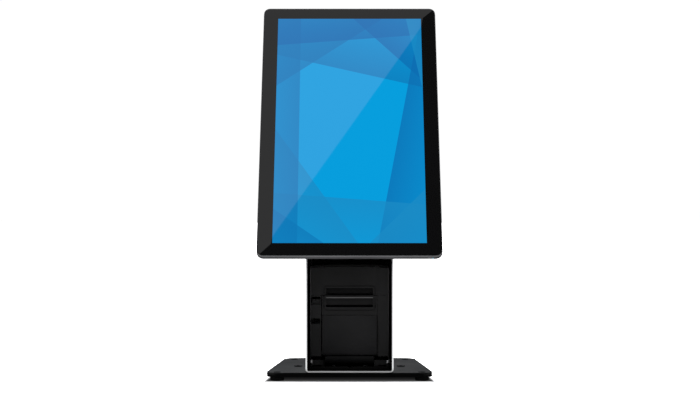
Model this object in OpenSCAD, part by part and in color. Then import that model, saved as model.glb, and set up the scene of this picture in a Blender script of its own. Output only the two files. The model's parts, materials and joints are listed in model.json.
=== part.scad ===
// Countertop self-service kiosk: a portrait touchscreen on a friction tilt hinge, a bent
// aluminium column that houses a receipt printer, and a tapered steel base on rubber feet.
// Millimetres, +Z up, +Y away from the user, origin on the table under the middle of the kiosk.

/* [Base] */
// Width of the base plate along its front edge, before the corners are rounded
base_front_w = 296; // [290:1:310]
// Width of the base plate along its back edge, before the corners are rounded
base_back_w = 242.5; // [236:0.5:280]
// Depth of the base plate from front to back
base_d = 245; // [244:1:260]
// Thickness of the base plate
base_t = 8; // [7.5:0.5:12]
// Corner radius of the base plate
base_r = 22; // [16:1:24]
// Height of the rubber feet
foot_h = 6.5; // [6:0.5:10]
// Diameter of the rubber feet
foot_d = 24.5; // [20:0.5:28]

/* [Column] */
// Outside width of the column
column_w = 154; // [153:0.5:156]
// Thickness of the bent aluminium sheet
sheet_t = 2.6; // [2.5:0.1:3]
// Distance of the column's front edge behind the front of the base
column_inset = 4; // [3:0.5:6]
// Depth of the column from front to back
column_d = 200; // [198:1:206]
// Height of the column's front edge above the base
column_front_h = 201.5; // [196:0.5:204]
// Height of the rear door above the base
rear_step_h = 247; // [245:1:260]

/* [Touchscreen] */
// Width of the touchscreen head
head_w = 322.3; // [320:0.1:324]
// Height of the touchscreen head along the glass
head_h = 525.5; // [522:0.5:528]
// Corner radius of the touchscreen head
head_r = 12; // [8:1:16]
// Depth of the metal frame round the glass
frame_t = 13.8; // [13:0.2:15]
// Depth of the whole head, from glass to rear cover
head_t = 42; // [42:0.5:43]
// Width of the lit area (21.5 inch, 9:16)
screen_w = 267.8; // [260:0.1:270]
// Height of the lit area
screen_h = 476.1; // [470:0.1:480]
// Lean of the glass from the vertical, at rest
tilt = 30; // [29:0.5:31]
// Height of the glass's lower edge above the table
lip_z = 220.3; // [220:0.1:226]
// How far the glass's lower edge stands in front of the base
lip_overhang = 39; // [36:1:40]

/* [Printer] */
// Width of the receipt printer
printer_w = 136; // [134:0.5:136]
// Depth of the receipt printer
printer_d = 124; // [124:1:126]
// Distance of the printer's face behind the column's front edge
printer_recess = 28; // [27:0.5:29]
// Radius of a new paper roll
roll_r = 40; // [30:1:40]

/* [Hidden] */
$fn = 64;
fit = 0.05;             // running clearance of a shaft in its bore
through = 1;            // how far a cutting shape runs past a face

// A point of the head at rest, in the stand's (y, z): back from the glass, up along it
function head_point(back, up) = [-lip_overhang + up * sin(tilt) + back * cos(tilt),
                                 lip_z + up * cos(tilt) - back * sin(tilt)];

// Where a line from p touches a circle; side is -1 or 1
function tangent(p, c, r, side) =
    let (d = p - c, a = atan2(d[1], d[0]) + side * acos(r / norm(d))) c + r * [cos(a), sin(a)];

// Levels above the table
base_top = foot_h + base_t;
floor_top = base_top + sheet_t;
column_top = base_top + column_front_h;
step_z = base_top + rear_step_h;

// Places along Y, measured from the front edge of the base
front_y = (lip_overhang - base_d) / 2;
column_y0 = column_inset;
column_y1 = column_inset + column_d;

// Base plate: feet and counter bolts, whose bosses stand a little proud
taper = (base_front_w - base_back_w) / 2 / base_d;
foot_places = [for (p = [[127, 12.5], [104, 217]], s = [-1, 1]) [s * p[0], p[1]]];
foot_screw_r = 2.3;
foot_recess_r = 6.8;
foot_recess_d = 5;
counter_bolt = [93, 105];
counter_bolt_r = 3.3;
boss_r = 7.2;
boss_proud = 1.4;
floor_bolt_places = [for (x = [-28, 28], y = [60, 130]) [x, y]];
cable_hole = [182, 44];
cable_hole_r = 12;

// Tilt hinge, in the head's own axes and in the stand's
hinge_back = 68;
hinge_up = head_h / 2;
hinge_end_r = 18;
shaft_r = 6;
hinge_at = head_point(hinge_back, hinge_up);
fin_front = hinge_back - hinge_end_r;
fin_rear_foot = [column_y1, step_z];
fin_rear_top = tangent(fin_rear_foot, hinge_at, hinge_end_r, 1);

// Widths across the tilt hinge, from the middle of the kiosk
fin_out = column_w / 2;
fin_in = fin_out - sheet_t;
cheek_in = fin_in - 4;
ear_out = cheek_in - 2.5;
ear_in = ear_out - 4;

// Spine cover: up the fins' sloping rear edges
spine_up = (fin_rear_top - fin_rear_foot) / norm(fin_rear_top - fin_rear_foot);
spine_in = [-spine_up[1], spine_up[0]];
spine_l = 100;
spine_screw_s = [28, 80];

// Printer cage: a black sheet tray on the column's floor
cage_out = 69.6;
cage_in = 68.2;
cage_y = [28, 158];
cage_floor_top = floor_top + 2;
cage_screw_at = [32, 30.5];
cage_lip = 22.5;
cage_back = 33;
cage_wing_z = [21.5, 220];

// Printer, measured in the stand's axes
pr_y0 = column_y0 + printer_recess;
pr_y1 = pr_y0 + printer_d;
pr_x = printer_w / 2;
pr_z0 = 40;
pr_z1 = 198;
pr_wall = 2.5;
seam_z = [148, 148.5];
arch_r = 1123;
cover_x = [48.5, 49.6];
partition = [50.1, 51.6];
partition_y1 = 138;
cover_pivot = [pr_y0 + 5, pr_z0 + 6.5];
cover_barrel_r = 5;
cover_top = 147.5;
hinge_pin_r = 1.6;
exit_x = 41.5;
exit_rim = [44.5, 1.5];
exit_z = [122.2, 163.7];
mouth_top = 160.8;
slot_top = 150.4;
hood_y = 41;
grip_z = [127, 142.2];
grip_depth = 7;
panel_x = [-48.1, 47.8];
panel_z = [cover_pivot[1] - 3.8, 112.2];
groove = 1.1;
groove_d = 1.7;
button_window_z = [131.5, 145.5];
button_window_d = 16;
key_x = [-66.5, -59.4, -52];
key_z = [131.9, 140.6];
key_d = 5.5;
port_window_z = [97.5, 107];
port_d = 15;
belly_x = 43.4;
belly_z = [23, 39.8];
belly_y = [3, 45];
rail_z = 33;

// Printer drive: platen, idler and motor pinion
gear_m = 0.75;
platen_teeth = 18;
idler_teeth = 30;
pinion_teeth = 14;
gear_x = [42, 45.3];
platen_at = [pr_y0 + 18, 138];
platen_r = 6;
platen_shaft_r = 2;
axle_r = 1.5;
idler_dir = -13.5;
pinion_dir = -50;
idler_at = platen_at + gear_m * (platen_teeth + idler_teeth) / 2 * [cos(idler_dir), sin(idler_dir)];
pinion_at = idler_at + gear_m * (idler_teeth + pinion_teeth) / 2 * [cos(pinion_dir), sin(pinion_dir)];
idler_turn = idler_dir + 180 + 180 / idler_teeth;
pinion_turn = pinion_dir + 180 - idler_teeth / pinion_teeth * (idler_turn - pinion_dir) + 180 / pinion_teeth;
bucket_at = [pr_y0 + 60, 90];
bucket_r = 42;
roll_at = bucket_at - [0, bucket_r - roll_r - 0.3];
roll_core_r = 8.5;
roll_w = 80;
head_y = platen_at[0] + platen_r + 0.3;
beam_z = 146.2;
blade_y = [45.6, 46.6];

// Rear door: panel, pivot and lock
door_y = [column_y1 - 4, column_y1 - 2];
door_z = [floor_top + 2.5, step_z - 6];
door_x = fin_in - 0.8;
door_pivot = [-fin_in + 3.1, column_y1 - 3.1];
door_tube_r = 2.6;
door_pin_r = 1.5;
lock_at = [52, 140];
lock_r = 8;
plug_r = 5;

// Touchscreen head
cover_half = 152;
cover_foot = 8;
chamfer = (45 - cover_foot) / (head_t - frame_t);
vesa_places = [for (x = [-50, 50], z = [-50, 50]) [x, hinge_up + z]];
corner_screws = [for (x = [-135, 135], z = [66, head_h - 66]) [x, z]];
bay_x = 60;
bay_z = [62, 126];
bay_floor = 30;
button_x = 138.5;
led_x = 144.2;
rim_mark = 8.2;

// ---------------------------------------------------------------- frames of reference

// Children are drawn with y measured back from the front edge of the base
module on_stand() translate([0, front_y, 0]) children();

// Children are drawn with x across, y back from the glass, and z up along the glass
module on_head() translate([0, front_y - lip_overhang, lip_z]) rotate([-tilt, 0, 0]) children();

// A copy on each side of the kiosk
module both_sides() for (m = [0, 1]) mirror([m, 0, 0]) children();

// ---------------------------------------------------------------- shared shapes

// A box between two corners
module block(a, b) translate(a) cube(b - a);

// A flat rectangle with round corners, centred
module rounded_rect(w, h, r) {
    square([w - 2 * r, h], center = true);
    square([w, h - 2 * r], center = true);
    for (x = [-1, 1], y = [-1, 1]) translate([x * (w / 2 - r), y * (h / 2 - r)]) circle(r);
}

// A plate on the head: a rounded rectangle from back0 to back1 behind the glass
module head_plate(w, h, r, back0, back1)
    translate([0, back1, head_h / 2]) rotate([90, 0, 0])
        linear_extrude(back1 - back0) rounded_rect(w, h, r);

// A flat profile drawn in (y, z), extruded from x0 to x1
module across(x0, x1) translate([x0, 0, 0]) rotate([90, 0, 90]) linear_extrude(x1 - x0) children();

// A round bar along X
module bar_x(at, r, x0, x1) translate([x0, at[0], at[1]]) rotate([0, 90, 0]) cylinder(r = r, h = x1 - x0);

// A round bar along Y
module bar_y(at, r, y0, y1) translate([at[0], y0, at[1]]) rotate([-90, 0, 0]) cylinder(r = r, h = y1 - y0);

// A round bar along Z
module bar_z(at, r, z0, z1) translate([at[0], at[1], z0]) cylinder(r = r, h = z1 - z0);

// A hexagon socket, as cut into a screw head: along -Z from the origin
module socket(across_flats, depth) translate([0, 0, -depth])
    cylinder(r = across_flats / 2 / cos(30), h = depth + through, $fn = 6);

// A pan screw whose head sits on z = 0 and whose shank runs down
module pan_screw(head_r, head_t, shank_r, shank_l, flats) {
    difference() {
        cylinder(r = head_r, h = head_t);
        translate([0, 0, head_t]) socket(flats, head_t * 0.6);
    }
    translate([0, 0, -shank_l]) cylinder(r = shank_r, h = shank_l + 0.01);
}

// One flank point of an involute gear, at radius r on a gear of base radius rb
function involute_angle(r, rb) = r <= rb ? 0 : sqrt(r * r / rb / rb - 1) * 180 / PI - acos(rb / r);

// A spur gear outline with its first tooth on +x; play thins every tooth a little
module gear_outline(teeth, play = 0.16) {
    rp = gear_m * teeth / 2;
    rb = rp * cos(20);
    ra = rp + 0.85 * gear_m;
    rf = rp - 1.1 * gear_m;
    half = 90 / teeth - play / 2 / rp * 180 / PI + involute_angle(rp, rb);
    radii = [for (i = [0 : 4]) max(rb, rf) + (ra - max(rb, rf)) * i / 4];
    side = concat([[rf - 0.3, half]], [for (r = radii) [r, half - involute_angle(r, rb)]]);
    circle(rf);
    for (k = [0 : teeth - 1]) rotate(k * 360 / teeth)
        polygon(concat([for (p = side) p[0] * [cos(-p[1]), sin(-p[1])]],
                       [for (i = [len(side) - 1 : -1 : 0]) side[i][0] * [cos(side[i][1]), sin(side[i][1])]]));
}

// ---------------------------------------------------------------- base

module base_outline() {
    n = sqrt(1 + taper * taper);
    r = base_r;
    xf = base_front_w / 2 - taper * r - r * n;
    xb = base_front_w / 2 - taper * (base_d - r) - r * n;
    side = r / n * [1, taper];
    polygon([[-xf, 0], [xf, 0], [xf + side[0], r + side[1]], [xb + side[0], base_d - r + side[1]],
             [xb, base_d], [-xb, base_d], [-xb - side[0], base_d - r + side[1]], [-xf - side[0], r + side[1]]]);
    for (p = [[xf, r], [xb, base_d - r]], s = [-1, 1]) translate([s * p[0], p[1]]) circle(r);
}

module base_plate() color([0.03, 0.03, 0.032]) on_stand() difference() {
    union() {
        translate([0, 0, foot_h]) linear_extrude(base_t) base_outline();
        both_sides() bar_z(counter_bolt, boss_r, foot_h + 1, base_top + boss_proud);
    }
    for (p = foot_places) {
        bar_z(p, foot_screw_r + 0.1, foot_h - through, base_top + through);
        bar_z(p, foot_recess_r, base_top - foot_recess_d, base_top + through);
    }
    both_sides() bar_z(counter_bolt, counter_bolt_r, foot_h - through, base_top + boss_proud + through);
    for (p = floor_bolt_places) bar_z(p, 2.6, foot_h - through, base_top + through);
}

module rubber_feet() color([0.02, 0.02, 0.02]) on_stand() for (p = foot_places) difference() {
    union() {
        bar_z(p, foot_d / 2, 1, foot_h);
        translate([p[0], p[1], 0]) cylinder(r1 = foot_d / 2 - 1, r2 = foot_d / 2, h = 1);
    }
    bar_z(p, foot_screw_r + 0.1, 1.6, foot_h + through);
}

module foot_screws() color([0.15, 0.15, 0.16]) on_stand() for (p = foot_places)
    translate([p[0], p[1], base_top - foot_recess_d]) pan_screw(4.8, 2.4, foot_screw_r, base_t - foot_recess_d + 4, 3);

// ---------------------------------------------------------------- column

module fin_profile() {
    polygon([[column_y0, base_top], [column_y0, column_top],
             head_point(fin_front, (column_top - lip_z + fin_front * sin(tilt)) / cos(tilt)),
             head_point(fin_front, hinge_up), fin_rear_top, fin_rear_foot, [column_y1, base_top]]);
    translate(hinge_at) circle(hinge_end_r);
}

// A tray seen end-on: flat sides and round bottom corners
module tray_end(half, z0, r) {
    polygon([[-half, z0 + r], [-half + r, z0], [half - r, z0], [half, z0 + r], [half, 600], [-half, 600]]);
    for (s = [-1, 1]) translate([s * (half - r), z0 + r]) circle(r);
}

// A point beside the spine: along its slope, and in from the fins' rear edge
function spine_point(along, in) = fin_rear_foot + along * spine_up + in * spine_in;

module column_shell() color([0.75, 0.76, 0.77]) on_stand() difference() {
    intersection() {
        across(-fin_out - through, fin_out + through) fin_profile();
        translate([0, column_y1 + through, 0]) rotate([90, 0, 0])
            linear_extrude(column_d + 2 * through) difference() {
                tray_end(fin_out, base_top, 6);
                tray_end(fin_in, floor_top, 3);
            }
    }
    bar_x(hinge_at, shaft_r + fit, -fin_out - through, fin_out + through);
    for (p = floor_bolt_places) bar_z(p, 2.6, base_top - through, floor_top + through);
    bar_x(cable_hole, cable_hole_r, -fin_out - through, -fin_in + through);
    for (m = [0, 1]) mirror([m, 0, 0]) {
        bar_x(cage_screw_at, 1.6, fin_in - through, fin_in + 1.6);
        for (a = spine_screw_s) bar_x(spine_point(a, 9), 2.2, fin_in - through, fin_out + through);
    }
}

module floor_bolts() color([0.6, 0.6, 0.62]) on_stand() for (p = floor_bolt_places)
    translate([p[0], p[1], cage_floor_top]) pan_screw(4.5, 2.6, 2.5, cage_floor_top - foot_h - 1, 3);

module printer_cage() color([0.06, 0.06, 0.065]) on_stand() difference() {
    union() {
        block([-cage_out, cage_y[0], floor_top], [cage_out, cage_y[1], cage_floor_top]);
        block([-cage_out, cage_y[0], floor_top], [cage_out, cage_y[0] + 1.6, cage_lip]);
        block([-cage_out, cage_y[1] - 1.6, floor_top], [cage_out, cage_y[1], cage_back]);
        both_sides() block([cage_in, cage_y[0], floor_top], [cage_out, cage_y[1], 196]);
        both_sides() block([cage_in, cage_y[1] - 1.6, cage_wing_z[0]], [fin_in - 0.3, cage_y[1], cage_wing_z[1]]);
    }
    for (p = floor_bolt_places) bar_z(p, 2.6, floor_top - through, cage_floor_top + through);
    block([-3, cage_y[0] - through, cage_lip - 2], [3, cage_y[0] + 3, cage_lip + 1]);
    for (s = [0 : 5], m = [0, 1]) mirror([m, 0, 0])
        block([cage_in - through, 60 + 14 * s, 70], [cage_out + through, 66 + 14 * s, 170]);
    both_sides() bar_x(cage_screw_at, 1.6, cage_in - through, cage_out + through);
}

module printer_rails() color([0.3, 0.3, 0.31]) on_stand() both_sides() difference() {
    block([44, 37, cage_floor_top], [cage_in, 150, rail_z]);
    block([50.5, 36, cage_floor_top - through], [66, 60, cage_floor_top + 5]);
}

module cage_screws() color([0.85, 0.85, 0.86]) on_stand() both_sides() {
    difference() {
        bar_x(cage_screw_at, 2.8, cage_in - 2.6, cage_in);
        bar_x(cage_screw_at, 1.2, cage_in - 3, cage_in - 1.2);
    }
    bar_x(cage_screw_at, 1.5, cage_in - 0.01, fin_in + 1.5);
}

// ---------------------------------------------------------------- tilt hinge

module hinge_cheeks() color([0.12, 0.12, 0.125]) on_stand() both_sides() difference() {
    across(cheek_in, fin_in) {
        translate(hinge_at) circle(17);
        polygon([head_point(hinge_back - 17, hinge_up), head_point(hinge_back - 17, hinge_up - 70),
                 head_point(hinge_back + 10, hinge_up - 70), head_point(hinge_back + 17, hinge_up)]);
    }
    bar_x(hinge_at, shaft_r + fit, cheek_in - through, fin_in + through);
}

module tilt_shaft() color([0.7, 0.7, 0.72]) on_stand() bar_x(hinge_at, shaft_r, -83, 83);

module shaft_collars() color([0.5, 0.5, 0.52]) on_stand() both_sides() difference() {
    bar_x(hinge_at, 11, ear_in - 9, ear_in - 0.3);
    bar_x(hinge_at, shaft_r + fit, ear_in - 10, ear_in + 1);
}

module friction_washers() color([0.62, 0.52, 0.3]) on_stand() both_sides() difference() {
    bar_x(hinge_at, 14, ear_out + 0.1, cheek_in);
    bar_x(hinge_at, shaft_r + fit, ear_out - 1, cheek_in + 1);
}

module shaft_nuts() color([0.7, 0.7, 0.72]) on_stand() both_sides() difference() {
    union() {
        bar_x(hinge_at, 9, fin_out, fin_out + 6);
        translate([fin_out + 6, hinge_at[0], hinge_at[1]]) rotate([0, 90, 0]) cylinder(r1 = 9, r2 = 6.5, h = 2.5);
    }
    bar_x(hinge_at, shaft_r + fit, fin_out - 1, 83.2);
}

module tilt_yoke() color([0.1, 0.1, 0.105]) on_head() difference() {
    union() {
        head_plate(2 * ear_out, 120, 6, head_t, head_t + 3);
        both_sides() across(ear_in, ear_out) {
            polygon([[head_t, hinge_up - 46], [head_t, hinge_up + 46], [head_t + 3, hinge_up + 46],
                     tangent([head_t + 3, hinge_up + 46], [hinge_back, hinge_up], 14, -1),
                     tangent([head_t + 3, hinge_up - 46], [hinge_back, hinge_up], 14, 1),
                     [head_t + 3, hinge_up - 46]]);
            translate([hinge_back, hinge_up]) circle(14);
        }
    }
    bar_x([hinge_back, hinge_up], shaft_r + fit, -ear_out - through, ear_out + through);
    for (p = vesa_places) bar_y(p, 2.3, head_t - through, head_t + 3 + through);
    bar_y([0, hinge_up], 20, head_t - through, head_t + 3 + through);
}

module vesa_screws() color([0.7, 0.7, 0.72]) on_head() for (p = vesa_places)
    translate([p[0], head_t + 3, p[1]]) rotate([-90, 0, 0]) pan_screw(4, 2.4, 2, 14, 2.5);

// ---------------------------------------------------------------- rear

module spine_cover() color([0.08, 0.08, 0.085]) on_stand() difference() {
    union() {
        across(-fin_in + 0.3, fin_in - 0.3)
            polygon([[spine_point(0, 1.5)[0], step_z - 2], spine_point(0, 1.5), spine_point(spine_l, 1.5),
                     spine_point(spine_l, 3.5), [spine_point(0, 3.5)[0], step_z], [184, step_z], [184, step_z - 2]]);
        both_sides() across(fin_in - 3.3, fin_in - 0.3)
            polygon([spine_point(8, 2), spine_point(spine_l - 4, 2), spine_point(spine_l - 4, 16), spine_point(8, 16)]);
    }
    for (m = [0, 1], a = spine_screw_s) mirror([m, 0, 0])
        bar_x(spine_point(a, 9), 2.1, fin_in - 5, fin_in + 1);
}

module spine_screws() color([0.7, 0.7, 0.72]) on_stand() for (m = [0, 1], a = spine_screw_s) mirror([m, 0, 0])
    translate([fin_out, spine_point(a, 9)[0], spine_point(a, 9)[1]]) rotate([0, 90, 0]) pan_screw(4, 2.2, 2, 9, 2.5);

module rear_door() color([0.08, 0.08, 0.085]) on_stand() difference() {
    union() {
        block([door_pivot[0], door_y[0], door_z[0]], [door_x, door_y[1], door_z[1]]);
        bar_z(door_pivot, door_tube_r, door_z[0], door_z[1]);
        for (z = [door_z[0], door_z[1] - 2]) block([-66, door_y[0] - 8, z], [door_x, door_y[1], z + 2]);
        block([door_x - 2, door_y[0] - 10, door_z[0]], [door_x, door_y[1], door_z[1]]);
    }
    for (z = [door_z[0], door_z[1]]) bar_z(door_pivot, door_pin_r + fit, z - 12, z + 12);
    bar_y(lock_at, lock_r + 0.05, door_y[0] - through, door_y[1] + through);
    for (z = [52, 154], i = [0 : 3])
        block([-45, door_y[0] - through, z + 8 * i], [45, door_y[1] + through, z + 8 * i + 3.5]);
}

module door_pins() color([0.7, 0.7, 0.72]) on_stand() {
    block([door_pivot[0], column_y1 - 8, floor_top], [door_pivot[0] + 14, column_y1 - 1, floor_top + 2]);
    bar_z(door_pivot, door_pin_r, floor_top + 0.6, floor_top + 13);
    bar_z(door_pivot, door_pin_r, step_z - 16, step_z - 2);
}

module lock_housing() color([0.75, 0.75, 0.77]) on_stand() difference() {
    union() {
        bar_y(lock_at, lock_r, 186, door_y[1] + 0.5);
        bar_y(lock_at, 10, door_y[1], door_y[1] + 1.6);
    }
    bar_y(lock_at, plug_r + fit, 185, column_y1 + 1);
}

module lock_plug() color([0.8, 0.8, 0.82]) on_stand() difference() {
    bar_y(lock_at, plug_r, 184.5, door_y[1] + 1.6);
    block([lock_at[0] - 0.7, door_y[1] - 6, lock_at[1] - 3.2], [lock_at[0] + 0.7, column_y1 + 1, lock_at[1] + 3.2]);
}

module lock_cam() color([0.6, 0.6, 0.62]) on_stand() {
    bar_y(lock_at, 6, 182, 184.5);
    block([lock_at[0] - 4, 182, lock_at[1]], [lock_at[0] + 4, 184.5, lock_at[1] + 18.5]);
}

module strike_tab() color([0.6, 0.6, 0.62]) on_stand() {
    block([64.5, 185.2, lock_at[1] - 9], [fin_in, 187.2, lock_at[1] + 9]);
    block([fin_in - 2, 168, lock_at[1] - 9], [fin_in, 187.2, lock_at[1] + 9]);
}

module power_adapter() color([0.05, 0.05, 0.05]) on_stand() difference() {
    block([-52, 163, floor_top], [-4, 189, floor_top + 118]);
    block([-38, 168, floor_top + 106], [-18, 184, floor_top + 119]);
}

// ---------------------------------------------------------------- printer case

module printer_lower_case() color([0.07, 0.07, 0.075]) on_stand() difference() {
    union() {
        difference() {
            block([-pr_x, pr_y0, pr_z0], [pr_x, pr_y1, seam_z[0]]);
            block([-partition[0], pr_y0 - through, pr_z0 + pr_wall], [partition[0], partition_y1, seam_z[0] + 1]);
            block([-partition[0], pr_y0 - through, pr_z0 - through], [partition[0], pr_y0 + 12, seam_z[0] + 1]);
            both_sides() block([partition[1], pr_y0 + pr_wall, pr_z0 + pr_wall],
                               [pr_x - pr_wall, pr_y1 - pr_wall, seam_z[0] + 1]);
            block([-partition[1] - 1, partition_y1, pr_z0 + pr_wall],
                  [partition[1] + 1, pr_y1 - pr_wall, seam_z[0] + 1]);
        }
        block([-partition[0] - 0.5, 60, beam_z], [partition[0] + 0.5, 72, seam_z[0]]);
        for (x = [-54, 54], z = [62, 132]) bar_y([x, z], 3, 143.6, pr_y1 - 1);
        difference() {
            across(-belly_x, belly_x) belly_profile();
            block([-belly_x + pr_wall, pr_y0 + 22, belly_z[0] + pr_wall],
                  [belly_x - pr_wall, pr_y0 + belly_y[1] - pr_wall, belly_z[1] - 1.5]);
        }
    }
    bar_x(cover_pivot, hinge_pin_r + fit, -partition[1] - 1, partition[1] + 1);
    bar_x(platen_at, platen_shaft_r + fit, -partition[1] - 1, partition[1] + 1);
    bar_x(idler_at, axle_r + fit, partition[0] - 1, partition[1] + 1);
    bar_x(pinion_at, 2.5, partition[0] - 1, partition[1] + 1);
    block([-pr_x - through, pr_y0 - through, button_window_z[0]],
          [-partition[1], pr_y0 + button_window_d, button_window_z[1]]);
    block([-pr_x - through, pr_y0 - through, port_window_z[0]], [-partition[1], pr_y0 + port_d, port_window_z[1]]);
}

// The printer's rounded underside, which hangs between the rails
module belly_profile() {
    r = belly_z[1] - belly_z[0];
    c = pr_y0 + belly_y[0] + r;
    intersection() {
        translate([c, belly_z[1]]) circle(r);
        translate([c - r - 1, belly_z[0] - 1]) square(r + 1);
    }
    translate([c, belly_z[0]]) square([pr_y0 + belly_y[1] - c, pr_z0 + 1 - belly_z[0]]);
}

// Half of the raised rim round the paper exit, seen from the front; grown by g
module exit_rim_half(low, high, top, g = 0) {
    r = 5 + g;
    w = exit_rim[0] + g;
    z0 = top ? low : low - g;
    z1 = top ? high + g : high;
    zc = top ? z1 - r : z0 + r;
    polygon([[-w, top ? z0 : zc], [w, top ? z0 : zc], [w, top ? zc : z1], [w - (top ? r : 0), z1],
             [-w + (top ? r : 0), z1], [-w, top ? zc : z1]]);
    if (!top) translate([-w + r, z0]) square([2 * (w - r), r + 1]);
    for (s = [-1, 1]) translate([s * (w - r), zc]) circle(r);
}

// The groove that runs round the rim
module exit_groove(low, high, top) translate([0, pr_y0 + groove_d, 0]) rotate([90, 0, 0])
    linear_extrude(groove_d + through) difference() {
        exit_rim_half(low, high, top, groove);
        exit_rim_half(low, high, top);
    }

module printer_top_case() color([0.07, 0.07, 0.075]) on_stand() difference() {
    union() {
        difference() {
            translate([0, pr_y1, 0]) rotate([90, 0, 0]) linear_extrude(printer_d) intersection() {
                translate([-pr_x, seam_z[1]]) square([printer_w, 60]);
                translate([0, pr_z1 - arch_r]) circle(arch_r, $fn = 1440);
            }
            block([-pr_x + pr_wall, pr_y0 + pr_wall, seam_z[1] - 1],
                  [pr_x - pr_wall, pr_y1 - pr_wall, pr_z1 - 2.5 - pr_wall]);
            exit_groove(seam_z[1] - 1, exit_z[1], true);
            both_sides() block([partition[0] - 0.2, pr_y0 - 1, seam_z[1] - 1],
                               [partition[0] + 0.6, pr_y0 + 1.2, pr_z1 + 2]);
        }
        block([-exit_x - 1.5, pr_y0 + 1, mouth_top], [exit_x + 1.5, hood_y + 1.4, mouth_top + 1.5]);
        block([-exit_x - 1.5, hood_y, slot_top], [exit_x + 1.5, hood_y + 1.4, mouth_top + 1]);
        both_sides() block([exit_x, pr_y0 + 1, seam_z[1] + 1], [exit_x + 1.5, hood_y + 1.4, mouth_top + 1]);
        translate([0, pr_y0 + 1, 0]) rotate([90, 0, 0]) linear_extrude(exit_rim[1] + 1)
            exit_rim_half(seam_z[1], exit_z[1], true);
        both_sides() block([45.5, pr_y0 + 2, pr_z1 - 4], [51.5, pr_y0 + 12, pr_z1 + 2]);
    }
    block([-exit_x, pr_y0 - 3, seam_z[1] - 1], [exit_x, pr_y0 + pr_wall + 1, mouth_top]);
}

module printer_cover() color([0.07, 0.07, 0.075]) on_stand() difference() {
    union() {
        difference() {
            block([-cover_x[0], pr_y0, cover_pivot[1]], [cover_x[1], pr_y0 + 10, cover_top]);
            exit_groove(exit_z[0], cover_top + 1, false);
            block([panel_x[0], pr_y0 - 1, panel_z[1]], [panel_x[1] + groove, pr_y0 + 1, panel_z[1] + groove]);
            block([panel_x[1], pr_y0 - 1, cover_pivot[1] + 1], [panel_x[1] + groove, pr_y0 + 1, panel_z[1] + 0.1]);
        }
        bar_x(cover_pivot, cover_barrel_r, -cover_x[0], cover_x[1]);
        translate([0, pr_y0 + 1, 0]) rotate([90, 0, 0]) linear_extrude(exit_rim[1] + 1)
            exit_rim_half(exit_z[0], cover_top, false);
    }
    bar_x(cover_pivot, hinge_pin_r + fit, -cover_x[0] - 1, cover_x[1] + 1);
    block([-exit_x, pr_y0 - 3, grip_z[0]], [exit_x, pr_y0 + grip_depth, grip_z[1]]);
    block([-exit_x, pr_y0 - 3, grip_z[0]], [exit_x, pr_y0 + 9, grip_z[0] + 3]);
    block([-exit_x, pr_y0 - 3, grip_z[1] - 1], [exit_x, pr_y0, cover_top + 1]);
    block([-cover_x[0] + pr_wall, pr_y0 + pr_wall, cover_pivot[1] + 8],
          [cover_x[1] - pr_wall, pr_y0 + 11, exit_z[0] - 2]);
}

module cover_panel() color([0.09, 0.09, 0.095]) on_stand() across(panel_x[0], panel_x[1]) intersection() {
    translate([pr_y0 + 151, 78]) circle(155, $fn = 360);
    translate([pr_y0 - 6, panel_z[0]]) square([6, panel_z[1] - panel_z[0]]);
}

module tear_bar() color([0.85, 0.85, 0.86]) on_stand() translate([0, pr_y0, 0]) rotate([90, 0, 0])
    linear_extrude(1.1) {
        translate([-41.2, grip_z[1] + 1.1]) square([82.4, 1.4]);
        for (i = [0 : 39]) polygon([[-41.2 + 2.06 * i, grip_z[1] + 1.2], [-40.17 + 2.06 * i, grip_z[1] + 0.35],
                                    [-39.14 + 2.06 * i, grip_z[1] + 1.2]]);
    }

module cover_hinge_pin() color([0.7, 0.7, 0.72]) on_stand()
    bar_x(cover_pivot, hinge_pin_r, -partition[1], partition[1]);

module printer_feet() color([0.03, 0.03, 0.03]) on_stand()
    for (x = [-56, 56], y = [50, 140]) bar_z([x, y], 6, rail_z, pr_z0);

module release_button() color([0.12, 0.12, 0.125]) on_stand()
    block([key_x[1] + 0.3, pr_y0 + key_d, key_z[0]], [key_x[2], pr_y0 + 12.5, key_z[1]]);

module feed_button() color([0.12, 0.12, 0.125]) on_stand()
    block([key_x[0], pr_y0 + key_d + 0.6, key_z[0]], [key_x[1] - 0.3, pr_y0 + 12.5, key_z[1]]);

module usb_port() color([0.02, 0.02, 0.02]) on_stand() difference() {
    union() {
        block([-pr_x + pr_wall, pr_y0 + port_d, 95], [-partition[1], pr_y0 + port_d + 1.5, 109.5]);
        block([-63.3, pr_y0 + port_d, 98.5], [-53, pr_y0 + 24, 106]);
    }
    block([-62.3, pr_y0 + 1, 99.5], [-54, pr_y0 + 22, 105]);
}

// ---------------------------------------------------------------- printer mechanism

module platen_roller() color([0.1, 0.1, 0.1]) on_stand() {
    bar_x(platen_at, platen_r, -40, 40);
    bar_x(platen_at, platen_shaft_r, -partition[1] + 0.2, partition[1] - 0.2);
}

// A gear wheel with its axle along X
module gear_wheel(at, teeth, turn, bore_r) difference() {
    across(gear_x[0], gear_x[1]) translate(at) rotate(turn) gear_outline(teeth);
    bar_x(at, bore_r, gear_x[0] - 1, gear_x[1] + 1);
}

module platen_gear() color([0.85, 0.84, 0.8]) on_stand()
    gear_wheel(platen_at, platen_teeth, idler_dir, platen_shaft_r + 0.02);

module idler_gear() color([0.85, 0.84, 0.8]) on_stand()
    gear_wheel(idler_at, idler_teeth, idler_turn, axle_r + fit);

module idler_axle() color([0.7, 0.7, 0.72]) on_stand() {
    bar_x(idler_at, axle_r, 41.2, partition[1]);
    bar_x(idler_at, 3, 40.6, 41.6);
}

module motor_pinion() color([0.75, 0.65, 0.35]) on_stand() {
    across(gear_x[0], gear_x[1]) translate(pinion_at) rotate(pinion_turn) gear_outline(pinion_teeth);
    bar_x(pinion_at, axle_r, gear_x[1] - 1, partition[1] - 0.2);
}

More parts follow.
